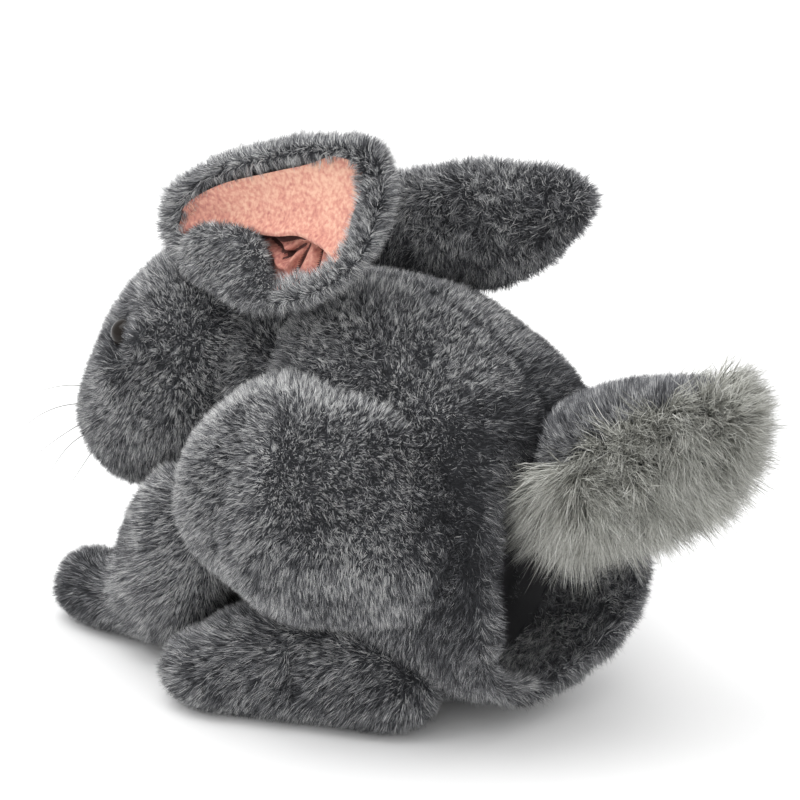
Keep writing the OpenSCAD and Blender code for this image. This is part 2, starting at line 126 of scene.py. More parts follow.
def cloth_material(name, ramp, scale, rough=0.9, bump=0.3, fine=1400.0, speckle=0.3, **sockets):
    """Fabric whose colour wanders between the ramp's colours, with a fine nap in its bump."""
    m = material(name, ramp[0][1], rough, **sockets)
    nt = m.node_tree
    bsdf = nt.nodes["Principled BSDF"]
    coord = nt.nodes.new("ShaderNodeTexCoord")
    big = nt.nodes.new("ShaderNodeTexNoise")
    big.inputs["Scale"].default_value = scale
    big.inputs["Detail"].default_value = 5
    big.inputs["Roughness"].default_value = 0.65
    nt.links.new(coord.outputs["Object"], big.inputs["Vector"])
    cr = nt.nodes.new("ShaderNodeValToRGB")
    while len(cr.color_ramp.elements) < len(ramp):
        cr.color_ramp.elements.new(0.5)
    for e, (at, c) in zip(cr.color_ramp.elements, ramp):
        e.position, e.color = at, (*c, 1)
    nap = nt.nodes.new("ShaderNodeTexNoise")
    nap.inputs["Scale"].default_value = fine
    nap.inputs["Detail"].default_value = 3
    nt.links.new(coord.outputs["Object"], nap.inputs["Vector"])
    blend = nt.nodes.new("ShaderNodeMix")
    blend.data_type = "FLOAT"
    blend.inputs[0].default_value = speckle
    nt.links.new(big.outputs["Fac"], blend.inputs[2])
    nt.links.new(nap.outputs["Fac"], blend.inputs[3])
    nt.links.new(blend.outputs[0], cr.inputs["Fac"])
    nt.links.new(cr.outputs["Color"], bsdf.inputs["Base Color"])
    bp = nt.nodes.new("ShaderNodeBump")
    bp.inputs["Strength"].default_value = bump
    bp.inputs["Distance"].default_value = 0.0006
    nt.links.new(nap.outputs["Fac"], bp.inputs["Height"])
    nt.links.new(bp.outputs["Normal"], bsdf.inputs["Normal"])
    return m


BACKING = cloth_material("plush_backing", [(0.3, (0.018, 0.019, 0.022)), (0.7, (0.05, 0.052, 0.058))], 60)
PALE_BACKING = cloth_material("pale_backing", [(0.3, (0.10, 0.10, 0.09)), (0.7, (0.2, 0.2, 0.18))], 60)
LINING = cloth_material("hand_lining", [(0.3, (0.05, 0.05, 0.055)), (0.7, (0.12, 0.12, 0.125))], 30,
                        rough=0.62, bump=0.15, fine=2500)
VELOUR = cloth_material("velour", [(0.36, (0.40, 0.14, 0.12)), (0.5, (0.60, 0.27, 0.205)),
                                   (0.64, (0.74, 0.44, 0.32))], 24, rough=0.8, bump=0.8, fine=560,
                        speckle=0.55, Sheen_Weight=0.3, Sheen_Roughness=0.4)
# Darker copies of the velour: painted shade under the ear's fold, and painted shadow in its slit and pleats
VELOUR_PAINTED_SHADE = cloth_material("velour_painted_shade", [(0.36, (0.30, 0.10, 0.085)), (0.5, (0.47, 0.20, 0.155)),
                                           (0.64, (0.60, 0.32, 0.24))], 24, rough=0.85, bump=0.8, fine=560,
                            speckle=0.55)
VELOUR_PAINTED_SLIT_SHADOW = cloth_material("velour_painted_slit_shadow", [(0.36, (0.06, 0.022, 0.02)), (0.64, (0.14, 0.055, 0.045))], 24,
                             rough=0.9, fine=560)
GREY_TONES = [material(f"pile_grey_{i}", c, 0.62) for i, c in enumerate([
    (0.024, 0.025, 0.029), (0.062, 0.064, 0.072), (0.135, 0.138, 0.150),
    (0.26, 0.264, 0.275), (0.46, 0.464, 0.47), (0.76, 0.76, 0.755)])]
PALE_TONES = [material(f"pile_pale_{i}", c, 0.6) for i, c in enumerate([
    (0.16, 0.16, 0.14), (0.28, 0.28, 0.25), (0.42, 0.42, 0.385), (0.58, 0.58, 0.54), (0.74, 0.74, 0.70)])]


# ---------------------------------------------------------------- meshes

def to_row(p):
    q = np.array(p, float)
    q[..., 1] += SHIFT
    return q * MM


def mesh_object(name, verts, loops, sizes, materials, slots=None):
    """A smooth-shaded mesh from arrays: vertices in mm, corner indices, and corners per face."""
    me = bpy.data.meshes.new(name)
    verts = to_row(verts).reshape(-1, 3)
    loops = np.asarray(loops, np.int32).ravel()
    sizes = np.asarray(sizes, np.int32)
    me.vertices.add(len(verts))
    me.vertices.foreach_set("co", verts.astype(np.float32).ravel())
    me.loops.add(len(loops))
    me.loops.foreach_set("vertex_index", loops)
    me.polygons.add(len(sizes))
    me.polygons.foreach_set("loop_start", np.concatenate([[0], np.cumsum(sizes)[:-1]]).astype(np.int32))
    me.polygons.foreach_set("use_smooth", np.ones(len(sizes), bool))
    for m in materials:
        me.materials.append(m)
    if slots is not None:
        me.polygons.foreach_set("material_index", np.asarray(slots, np.int32))
    me.update(calc_edges=True)
    o = bpy.data.objects.new(name, me)
    bpy.context.scene.collection.objects.link(o)
    return o


def grid_faces(m, n):
    """The faces between m closed rings of n points each."""
    i, j = np.meshgrid(np.arange(m - 1), np.arange(n), indexing="ij")
    k = (j + 1) % n
    return np.stack([i * n + j, i * n + k, (i + 1) * n + k, (i + 1) * n + j], -1).reshape(-1, 4)


def grid_normals(v):
    around = np.roll(v, -1, 1) - np.roll(v, 1, 1)
    along_it = np.gradient(v, axis=0)
    return unit(np.cross(around, along_it))


def skin(name, v, material_, outward=1.0, facing=None):
    """A cloth surface from rings of points. Its dict also feeds the pile that grows on it.
    Its outer side is away from its middle (outward=-1: towards it), or the side that faces "facing"."""
    m, n = v.shape[:2]
    normals = grid_normals(v)
    w = np.concatenate([v, v[:, :1]], 1)
    a, b, c, d = w[:-1, :-1], w[:-1, 1:], w[1:, 1:], w[1:, :-1]
    patch = np.cross(c - a, d - b)
    away = (a + c) / 2 - v.reshape(-1, 3).mean(0) if facing is None else np.array(facing, float)
    wanted = np.sign((patch * away).sum()) * outward
    faces = grid_faces(m, n)
    if wanted < 0:
        faces = faces[:, ::-1]
    normals = normals * wanted * np.sign((patch * (normals[:-1] + normals[1:])).sum())
    o = mesh_object(name, v, faces, np.full(len(faces), 4), [material_])
    return {"obj": o, "v": v, "n": normals}


def scatter(s, per_mm2, keep=None):
    """Random roots on a skin: points, normals and grid positions."""
    v = np.concatenate([s["v"], s["v"][:, :1]], 1)
    nrm = np.concatenate([s["n"], s["n"][:, :1]], 1)
    m, n = v.shape[:2]
    a, b, c, d = v[:-1, :-1], v[:-1, 1:], v[1:, 1:], v[1:, :-1]
    area = 0.5 * np.linalg.norm(np.cross(c - a, d - b), axis=-1)
    if keep is not None:
        centre = (a + b + c + d) / 4
        area = area * keep(centre.reshape(-1, 3)).reshape(area.shape)
    share = area.ravel() / max(area.sum(), 1e-9)
    count = int(area.sum() * per_mm2)
    cell = rng.choice(len(share), size=count, p=share)
    i, j = cell // (n - 1), cell % (n - 1)
    f, g = rng.random((2, count, 1))
    def mix(w):
        return ((1 - f) * (1 - g) * w[i, j] + (1 - f) * g * w[i, j + 1]
                + f * g * w[i + 1, j + 1] + f * (1 - g) * w[i + 1, j])
    p, q = mix(v), unit(mix(nrm))
    if keep is not None:
        ok = keep(p)
        p, q, i, f = p[ok], q[ok], i[ok], f[ok]
    return p, q, (i + f[:, 0]) / (m - 1)


def clumped(root, tip, spacing, pull):
    """Draws each tip towards the tip of its tuft's middle strand."""
    count = max(1, int(len(root) * min(1.0, spacing)))
    middle = rng.choice(len(root), size=count, replace=False)
    tree = kdtree.KDTree(count)
    for k, p in enumerate(root[middle]):
        tree.insert(p, k)
    tree.balance()
    find = tree.find
    near = middle[np.fromiter((find(p)[1] for p in root.tolist()), int, len(root))]
    k = (pull * (0.6 + 0.8 * rng.random(len(root))))[:, None]
    return tip + (tip[near] - tip) * k, near


FUR = []


def strands(name, root, normal, tip, bend, width, tone, tones, rings=1):
    """Three-sided tapering strands from root to tip, as one mesh."""
    n = len(root)
    axis = unit(tip - root)
    side = unit(np.cross(axis, normal + 1e-4))
    other = np.cross(side, axis)
    turn = rng.random(n) * 2 * math.pi
    levels = np.arange(rings) / rings
    verts = np.empty((n, 3 * rings + 1, 3))
    for k, u in enumerate(levels):
        middle = root + (tip - root) * u + bend * (4 * u * (1 - u)) - normal * (0.8 if k == 0 else 0)
        w = width * (1 - u) ** 0.6
        for c in range(3):
            a = turn + c * 2 * math.pi / 3
            across = side * np.cos(a)[:, None] + other * np.sin(a)[:, None]
            verts[:, 3 * k + c] = middle + across * w[:, None]
    verts[:, -1] = tip
    verts[..., 2] = np.maximum(verts[..., 2], FLOOR_GAP)
    tris = []
    for k in range(rings):
        for c in range(3):
            a, b = 3 * k + c, 3 * k + (c + 1) % 3
            if k < rings - 1:
                tris += [[a, b, b + 3], [a, b + 3, a + 3]]
            else:
                tris += [[a, b, 3 * rings]]
    tris = np.array(tris)
    loops = (tris[None] + (np.arange(n) * (3 * rings + 1))[:, None, None]).reshape(-1, 3)
    slots = np.repeat(tone, len(tris))
    o = mesh_object(name, verts.reshape(-1, 3), loops, np.full(len(loops), 3), tones, slots)
    FUR.append(o)
    return o


def pile(name, body, s, comb, keep=None, density=3.8, long=5.0, lift=1.1, thick=0.19,
         light=0.0, tones=GREY_TONES, shade=None):
    """Short plush pile on a skin: a dark undercoat and paler, longer guard hairs in tufts; light and
    shade(p) shift its tones as painted light and shade.
    """
    made = []
    for coat in ("under", "guard"):
        guard = coat == "guard"
        p, q, _ = scatter(s, density * (0.45 if guard else 0.55), keep)
        if not len(p):
            continue
        c = comb(p, q) + 0.5 * noise3(p, 26, 3) + 0.45 * noise3(p, 8, 5) + 0.6 * noise3(p, 3.4, 6)
        c = c + 0.5 * rng.normal(size=p.shape)
        c = c + [0, 0, 1.4] * np.clip(1 - p[:, 2:] / 10, 0, 1)
        c = unit(c - (c * q).sum(-1, keepdims=True) * q)
        up = np.clip(lift + 0.22 * rng.normal(size=len(p)), 0.3, 1.5)
        up = up + 0.3 * (noise(p, 14, 8) - 0.5)
        size = long * (1.0 if guard else 0.76) * (0.72 + 0.5 * rng.random(len(p)))
        size = size * (0.86 + 0.28 * noise(p, 11, 2)) * np.clip(0.4 + p[:, 2] / 22, 0.4, 1)
        d = c * np.cos(up)[:, None] + q * np.sin(up)[:, None]
        tip = p + d * size[:, None]
        tip, near = clumped(p, tip, 0.11, 0.45 if guard else 0.25)
        level = 0.6 * noise(p, 2.8, 1) + 0.35 * noise(p, 8, 7) + 0.3 * noise(p, 20, 4) - 0.625 + light
        level = level + 0.3 * rng.normal(size=len(p)) + 0.2 * (noise(p[near], 1.6, 9) - 0.5)
        if shade is not None:
            level = level + shade(p)
        base = 3.3 if guard else 1.1
        tone = np.clip(np.round(base + 4.6 * level), 0, len(tones) - 1).astype(int)
        if not guard:
            tone = np.minimum(tone, 3)
        width = thick * (0.75 + 0.5 * rng.random(len(p)))
        parts = max(1, math.ceil(len(p) * 3 / TRIANGLES_A_PIECE))
        for k in range(parts):
            w = slice(k, None, parts)
            o = strands(f"{name}_{coat}" + (f"_{k + 1}" if parts > 1 else ""), p[w], q[w], tip[w],
                        np.zeros((len(p[w]), 3)), width[w], tone[w], tones)
            ride(o, body)
            made.append(o)
    return made


def ride(o, body):
    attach(o, body)


# ---------------------------------------------------------------- forms

# BODY, HEAD, CHEST and TAIL: rows of [y, half width, lowest z, highest z].
# FORELEG and FOOT: rows of [step, x, y, z, half width, half height], from the root to the toes.
BODY = [[-29, 24, 94, 144], [-26, 38, 70, 158], [-18, 50, 38, 171], [-4, 60, 14, 181], [16, 66, 4, 184],
        [38, 66, 3, 181], [60, 65, 4, 173], [80, 63, 7, 160], [95, 60.5, 12, 141], [106, 57.5, 17, 112],
        [114, 53, 22, 90]]
HEAD = [[-141, 9, 90, 112], [-138, 17, 79, 120], [-135, 24, 71, 127], [-126, 33, 65, 143],
        [-114, 41, 63, 161], [-100, 46, 66, 175], [-84, 48, 71, 182], [-66, 46, 78, 179],
        [-52, 38, 86, 170], [-42, 27, 97, 154], [-37, 15, 106, 134]]
CHEST = [[-88, 7, 15, 26], [-84, 15, 9, 36], [-74, 22, 5, 46], [-60, 26, 4, 54], [-46, 26, 5, 60],
         [-34, 24, 12, 62], [-24, 20, 24, 60]]
# Middle, reach to the front, rear, top and bottom, how far it stands out, and where the flank starts
THIGH = {"y": 12.0, "z": 95.0, "ry": 57.0, "rear": 82.0, "rz": 58.0, "under": 44.0, "out": 31.0,
         "flank": -6.0}
FORELEG = [[0, 38, -47, 84, 11, 12], [1, 41, -56, 74, 21, 24], [2, 43, -65, 54, 25, 28],
           [3, 42, -76, 36, 24, 27], [4, 38, -95, 21, 16, 18.5], [5, 35, -113, 15.5, 16.5, 16],
           [6, 34, -130, 14.5, 15, 15], [7, 34, -140, 13.5, 9.5, 10]]
FOOT = [[0, 42, 62, 14, 9, 11], [1, 47, 54, 19, 14, 19], [2, 53, 36, 24, 17, 24], [3, 59, 13, 25, 18, 26],
        [4, 66, -9, 22.5, 18, 23.5], [5, 73, -27, 17, 17.5, 18], [6, 77, -39, 15.5, 13.5, 13.5],
        [7, 79, -46, 14.5, 6, 6]]
# Creases in a foot: from, to, depth and half width
FOOT_CREASES = [((76, 30, 42), (70, 56, 34), -5.0, 2.8), ((79, 32, 32), (72, 56, 24), -4.5, 2.6),
                ((76, 20, 44), (79, 18, 8), -4.5, 3.0), ((75, 33, 26), (74, 36, 8), -3.5, 2.6)]
TAIL = [[101, 14, 106, 140], [112, 17, 106, 148], [126, 19, 108, 156], [145, 19, 115, 163],
        [162, 15, 128, 167], [174, 10, 142, 167], [181, 4, 153, 162]]


def loft_at(table, y):
    r = curve(table, y)
    return r[..., 0], (r[..., 1] + r[..., 2]) / 2, (r[..., 2] - r[..., 1]) / 2


def loft(table, rows, n):
    y = np.asarray(rows, float)[:, None]
    rx, zc, h = loft_at(table, y[:, 0])
    a = np.arange(n) * 2 * math.pi / n
    return np.stack([rx[:, None] * np.cos(a), np.broadcast_to(y, (len(rows), n)),
                     zc[:, None] + h[:, None] * np.sin(a)], -1)


def capped(v, bulge, ends=(0, 1)):
    """Closes the ends of a loft with two smaller rings each, bulging by that much in all."""
    for end in ends:
        ring, inward = (v[-1], v[-4]) if end else (v[0], v[3])
        middle = ring.mean(0)
        out = unit(middle - inward.mean(0)) * bulge
        more = [middle + (ring - middle) * 0.55 + out * 0.7, middle + (ring - middle) * 0.04 + out]
        v = np.concatenate([v, more]) if end else np.concatenate([more[::-1], v])
    return v


def in_loft(p, table, grow):
    """Inside the loft, when it is made that much bigger all round."""
    y = p[:, 1]
    rx, zc, h = loft_at(table, y)
    inside = (p[:, 0] / np.maximum(rx + grow, 1)) ** 2 + ((p[:, 2] - zc) / np.maximum(h + grow, 1)) ** 2 < 1
    return inside & (y > table[0][0]) & (y < table[-1][0])


def body_side(y, z):
    rx, zc, h = loft_at(BODY, y)
    return rx * np.sqrt(np.clip(1 - ((z - zc) / h) ** 2, 0, 1))


def thigh_rise(k, rearward):
    """How far the pouch stands out, k from its middle (0) to its edge (1): a full round edge at the front,
    and at the rear a slope that runs out into the body."""
    soft = np.clip((rearward + 0.1) / 0.9, 0, 1)
    soft = soft * soft * (3 - 2 * soft)
    k = np.clip(k, 0, 1)
    return (1 - soft) * (1 - k**2.6) ** 0.45 + soft * (1 - k**2) ** 1.5


def in_thigh(p, side, grow):
    t = THIGH
    dy, dz = p[:, 1] - t["y"], p[:, 2] - t["z"]
    dy = dy / (np.where(dy > 0, t["rear"], t["ry"]) + grow)
    dz = dz / (np.where(dz > 0, t["rz"], t["under"]) + grow)
    k = np.hypot(dy, dz)
    edge = body_side(np.maximum(p[:, 1], t["flank"]), p[:, 2])
    reach = (t["out"] + grow) * thigh_rise(k, dy / np.maximum(k, 1e-6))
    x = side * p[:, 0]
    return (k < 1) & (reach > 2) & (x < edge + reach) & (x > edge - 0.4 * reach - 2)


def limb_frames(path, s):
    r = curve(path, s)
    c = r[:, :3]
    ahead, behind = np.minimum(s + 0.05, path[-1][0]), np.maximum(s - 0.05, 0)
    d = unit(curve(path, ahead)[:, :3] - curve(path, behind)[:, :3])
    x = unit(np.cross(d, [0, 0, 1.0]))
    return c, d, x, np.cross(x, d), r[:, 3], r[:, 4]


def in_limb(p, path, side, grow):
    s = np.linspace(0, path[-1][0], 50)
    c, d, x, u, w, h = limb_frames(path, s)
    q = p * [side, 1, 1]
    out = np.zeros(len(q), bool)
    for k in range(0, len(q), 20000):
        b = q[k:k + 20000]
        j = ((b[:, None] - c[None]) ** 2).sum(-1).argmin(1)
        r = b - c[j]
        a = (r * x[j]).sum(-1) / np.maximum(w[j] + grow, 1)
        e = (r * u[j]).sum(-1) / np.maximum(h[j] + grow, 1)
        out[k:k + 20000] = (a**2 + e**2 < 1) & (np.abs((r * d[j]).sum(-1)) < 6)
    return out


def limb_grid(path, side, n=56, rows=90):
    top = path[-1][0]
    s = np.concatenate([[0.0], np.linspace(0, top, rows), [top]])
    c, d, x, u, w, h = limb_frames(path, s)
    for e in (0, -1):
        w[e], h[e] = 0.4, 0.4
        c[e] = c[e] + d[e] * (2 if e else -2)
    a = np.arange(n) * 2 * math.pi / n
    v = (c[:, None] + x[:, None] * (w[:, None] * np.cos(a))[..., None]
         + u[:, None] * (h[:, None] * np.sin(a))[..., None])
    return v * [side, 1, 1]


def shaped(v, spots=(), creases=()):
    """Raises (amount > 0) or presses in (amount < 0) a closed surface along its outward normals:
    spots are (centre, amount, radius) and creases are (start, end, amount, radius)."""
    n = grid_normals(v)
    n = n * np.sign(((v - v.reshape(-1, 3).mean(0)) * n).sum())
    out = v.copy()
    for c, amount, radius in spots:
        gap = np.linalg.norm(v - c, axis=-1)
        out = out + n * (amount * np.exp(-(gap / radius) ** 2))[..., None]
    for a, b, amount, radius in creases:
        a, b = np.array(a, float), np.array(b, float)
        t = np.clip(((v - a) @ (b - a)) / ((b - a) @ (b - a)), 0, 1)[..., None]
        gap = np.linalg.norm(v - (a + t * (b - a)), axis=-1)
        out = out + n * (amount * np.exp(-(gap / radius) ** 2))[..., None]
    return out


def wobble(v, size, amount, seed, outward=1.0):
    """Makes a surface slightly uneven, with dents and bulges of that size and amount."""
    n = grid_normals(v) * outward
    return v + n * ((noise(v, size, seed) - 0.5) * 2 * amount)[..., None]


# ---------------------------------------------------------------- body

RING = 150              # points round the body
BODY_FRONT_Z = 118      # height of the middle of the body's front end
# Rings of the turned-in edge: how far behind the opening's edge, and how far inside the body's outline
LIP = [(-1.5, 0.2), (1.0, 0.3), (2.4, 1.4), (3.0, 3.2), (2.6, 5.2), (1.0, 6.8), (-3, 8.2), (-8, 9.4),
       (-14, 10.6), (-20, 12.2), (-24, 14)]
# Rings of the lining: their share of the way from the edge to the body's front, and how far inside
BAG = [(0, 13.4), (0.12, 13.2), (0.26, 12.6), (0.4, 12), (0.55, 11.5), (0.7, 11), (0.84, 11), (0.95, 12),
       (1, 14)]
SEAM = [(10, 184), (38, 181), (60, 173), (80, 160), (96, 139)]      # y and z along the back
ring_a = np.arange(RING) * 2 * math.pi / RING


def mouth_edge(a):
    """How far back the body reaches at each angle round the hand opening: its low left side is pulled in."""
    low, side = np.clip(np.cos(a + 0.95), 0, 1), np.clip(np.cos(a - 0.95), 0, 1)
    return 109 - 16 * low ** 3 - 15 * side ** 3 + 3 * np.clip(-np.cos(a), 0, 1)


def body_ring(y, inset=0.0):
    """A ring inside the body's cross-section; y may differ round the ring."""
    y = np.broadcast_to(np.asarray(y, float), ring_a.shape)
    r, c, h = loft_at(BODY, np.minimum(y, 114))
    return np.stack([(r - inset) * np.cos(ring_a), y, c + (h - inset) * np.sin(ring_a)], -1)


rows = np.concatenate([np.linspace(-29, -18, 14)[:-1], np.linspace(-18, 106, 90)])
body_grid = np.array([body_ring(np.where(y < -18, y, -18 + (y + 18) * (mouth_edge(ring_a) + 18) / 124))
                      for y in rows])
body_grid = wobble(body_grid, 34, 2.0, 2)
body_grid = shaped(body_grid, creases=[((0, *start), (0, *end), -2.4, 2.4)
                                       for start, end in zip(SEAM, SEAM[1:])])
body_grid[..., 2] = np.maximum(body_grid[..., 2], 2.5)
body_grid = np.concatenate([body_grid[:1] * [0.5, 1, 0.5] + [0, 0, BODY_FRONT_Z / 2], body_grid])
body = skin("body_cloth", body_grid, BACKING)
ride(body["obj"], "body")
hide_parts("body_panel_left", "body_panel_right", "belly_panel", "body_padding")


def along(direction):
    d = np.array(direction, float)
    return lambda p, n: np.broadcast_to(d, p.shape)


def body_comb(p, n):
    down = np.clip((130 - p[:, 2]) / 130, 0, 1)
    part = 1.4 * np.exp(-(p[:, 0] / 3.5) ** 2) * (n[:, 2] > 0.3)
    return np.stack([(0.15 + part) * np.sign(p[:, 0]), 0.75 - 0.2 * down, -0.25 - 0.75 * down], -1)


def clear_of(*tests):
    def ok(p):
        hidden = np.zeros(len(p), bool)
        for t in tests:
            hidden |= t(p)
        return ~hidden
    return ok


both = (1, -1)
body_keep = clear_of(*[lambda p, s=s: in_thigh(p, s, -3) for s in both],
                     lambda p: in_loft(p, HEAD, -9), lambda p: in_loft(p, CHEST, -3),
                     *[lambda p, s=s: in_limb(p, FOOT, s, -12) for s in both],
                     *[lambda p, s=s: in_limb(p, FORELEG, s, -10) for s in both],
                     lambda p: in_loft(p, TAIL, -5),
                     lambda p: p[:, 1] < -28)
def low_shade(p):
    """Painted shade in the pile: darker near the floor, towards the hand opening and along the spine seam.
    """
    seam = np.exp(-(p[:, 0] / 2.4) ** 2) * (p[:, 2] > 125)
    rear = np.clip((p[:, 1] - 66) / 20, 0, 1) * np.clip((175 - p[:, 2]) / 40, 0, 1)
    rear = rear * (0.3 + 0.7 * np.clip((p[:, 2] - 30) / 50, 0, 1))
    return -0.06 * np.clip((85 - p[:, 2]) / 50, 0, 1) - 0.48 * rear - 0.4 * seam


pile("body_pile", "body", body, body_comb, body_keep, light=0.03, shade=low_shade)

# The plush is turned in at the hand opening, and the lining runs on from it into the puppet
turned_in = 1 + 0.6 * np.clip(np.cos(ring_a + 2.2), 0, 1)     # deepest at the low right side
lip_grid = np.array([body_ring(mouth_edge(ring_a) + behind * (turned_in if behind < -2 else 1), inset)
                     for behind, inset in LIP])
lip_skin = skin("opening_hem_cloth", wobble(lip_grid, 16, 1.0, 3), BACKING, facing=(0, 1, 0))
ride(lip_skin["obj"], "body")
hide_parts("opening_hem")
# Painted shade: the hem's pile is darker on its left side, most of all higher up.
fur = pile("opening_hem_pile", "body", lip_skin, along((0, 0.8, -0.5)),
           clear_of(lambda p: in_loft(p, TAIL, 2)), density=4.4, long=7.5, lift=0.6, light=-0.02,
           shade=lambda p: -0.3 * np.clip(p[:, 0] / 12, 0, 1) * np.clip((p[:, 2] - 20) / 40, 0.2, 1))
bag_start = mouth_edge(ring_a) - 20 * turned_in
bag_grid = np.array([body_ring(bag_start + (-18 - bag_start) * u, inset) for u, inset in BAG])
slack = np.linspace(0, 3.2, len(BAG))[:, None, None]
bag_grid = bag_grid + (noise3(bag_grid, 22, 6) * [1, 0.3, 1]) * slack
last = bag_grid[-1:]
last_middle = last.mean(1, keepdims=True)
bag_grid = np.concatenate([bag_grid, (last - last_middle) * 0.08 + last_middle])
bag = skin("hand_lining_bag", bag_grid, LINING, outward=-1.0)
ride(bag["obj"], "body")
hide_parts("hand_lining")

# Collar of plush that fills the neck between head and body
COLLAR = [[-60, 26, 100, 150], [-54, 33, 92, 160], [-44, 37, 84, 164], [-34, 38, 80, 164],
          [-24, 38, 80, 162], [-16, 32, 86, 156]]
collar_grid = wobble(loft(COLLAR, np.linspace(-60, -16, 30), 90), 22, 1.2, 5)
collar = skin("neck_collar_cloth", collar_grid, BACKING)
ride(collar["obj"], "neck")
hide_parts("neck_sleeve")
fur = pile("neck_collar_pile", "neck", collar, along((0, 0.6, -0.6)), clear_of(
    lambda p: in_loft(p, BODY, -3), lambda p: in_loft(p, HEAD, -3)), long=6.5)

# ---------------------------------------------------------------- thighs

for side, word in BOTH_SIDES:
    t = THIGH
    k = np.linspace(0, 1, 46)
    k = np.concatenate([np.sin(k * math.pi / 2), 2 - np.sin((1 - k[1:24]) * math.pi / 2)])
    ang = np.arange(110) * 2 * math.pi / 110
    front = np.minimum(k, 2 - k)
    y = t["y"] + np.where(np.cos(ang) > 0, t["rear"], t["ry"]) * front[:, None] * np.cos(ang)
    z = t["z"] + np.where(np.sin(ang) > 0, t["rz"], t["under"]) * front[:, None] * np.sin(ang)
    bulge = thigh_rise(front[:, None], np.cos(ang)) * np.where(k[:, None] <= 1, t["out"], -0.35 * t["out"])
    x = body_side(np.maximum(y, t["flank"]), z) + 1 + bulge
    v = np.stack([x, y, z], -1) * [side, 1, 1]
    v = wobble(v, 30, 2.0, 4, side)
    s = skin(f"thigh_cloth_{word}", v, BACKING)
    ride(s["obj"], "body")
    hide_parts(f"thigh_{word}", f"thigh_stuffing_{word}")
    keep = clear_of(lambda p: in_loft(p, BODY, -3))

    def thigh_comb(p, n):
        up = np.clip((p[:, 2] - 90) / 55, -1, 1)
        return np.stack([np.zeros(len(p)), 0.55 + 0.25 * up, -0.75 + 0.35 * up], -1)

    def thigh_shade(p):
        """The body's painted shade, with pale tips along the pouch's front and top edge."""
        dy, dz = (p[:, 1] - THIGH["y"]) / THIGH["ry"], (p[:, 2] - THIGH["z"]) / THIGH["rz"]
        edge = np.exp(-((np.hypot(dy, dz) - 0.97) / 0.035) ** 2) * ((dy < 0.35) & (dz > -0.5))
        return low_shade(p) + 0.42 * edge
    pile(f"thigh_pile_{word}", "body", s, thigh_comb, keep, light=0.11, shade=thigh_shade)

# ---------------------------------------------------------------- chest

chest_grid = wobble(capped(loft(CHEST, np.linspace(-88, -24, 40), 60), 3), 25, 1.2, 5)
chest = skin("chest_cloth", chest_grid, BACKING)
ride(chest["obj"], "body")
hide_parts("chest_panel")
pile("chest_pile", "body", chest, along((0, -0.3, -1)), clear_of(
    lambda p: in_loft(p, BODY, -3), *[lambda p, s=s: in_limb(p, FORELEG, s, -2) for s in both]))

# ---------------------------------------------------------------- head

EYE = np.array([42.0, -101, 149])
head_rows = -37 - (104 * (1 - np.cos(np.linspace(0, math.pi, 96))) / 2)
head_grid = capped(loft(HEAD, head_rows, 132), 2.5)
# Bulges and hollows of the head: middle, height and radius
HEAD_SPOTS = [(EYE, -8.0, 8.5), ((47, -89, 150), 8.0, 8), ((42, -98, 170), 5.0, 9),
              ((44, -106, 128), 4.5, 11), ((26, -121, 96), 3.5, 17), ((30, -128, 152), 3.0, 8)]
for s in both:
    head_grid = shaped(head_grid, [(np.multiply(at, (s, 1, 1)), amount, r) for at, amount, r in HEAD_SPOTS])
head_grid = wobble(head_grid, 26, 1.0, 7, -1)
head = skin("head_cloth", head_grid, BACKING)
ride(head["obj"], "head")
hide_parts("head_panel_left", "head_panel_right", "head_gusset", "muzzle_patch",
            "head_stuffing", "head_pocket", "eye_washer_left", "eye_washer_right")


def head_comb(p, n):
    low = np.clip((120 - p[:, 2]) / 50, 0, 1)
    front = np.clip((-105 - p[:, 1]) / 30, 0, 1)
    c = np.stack([0.1 * np.sign(p[:, 0]), np.full_like(low, 0.9), 0.15 - 0.7 * low - 0.3 * front], -1)
    for s in both:
        away = p - EYE * [s, 1, 1]
        gap = np.linalg.norm(away, axis=-1, keepdims=True)
        toward = away / np.maximum(gap, 1)
        behind = np.clip(toward @ [0, 0.95, 0.3], 0, 1)[:, None]
        c = c + (0.5 - 2.6 * behind) * toward * np.exp(-(gap / 13) ** 2)
    return c


def near_face(p):
    hidden = np.zeros(len(p), bool)
    for s in both:
        hidden |= np.linalg.norm(p - EYE * [s, 1, 1], axis=-1) < 6.0
    hidden |= (np.abs(p[:, 0]) < 6) & (p[:, 1] < -134) & (p[:, 2] > 103) & (p[:, 2] < 110.5)
    return hidden


# Painted shade: the head's pile darkens round each eye, for the shadow of its socket.
pile("head_pile", "head", head, head_comb, clear_of(lambda p: in_loft(p, BODY, -9), near_face),
     long=5.4, light=0.08, shade=lambda p: -0.7 * sum(
         np.exp(-(np.linalg.norm(p - EYE * [s, 1, 1], axis=-1) / 11) ** 2) for s in both))

# ---------------------------------------------------------------- limbs

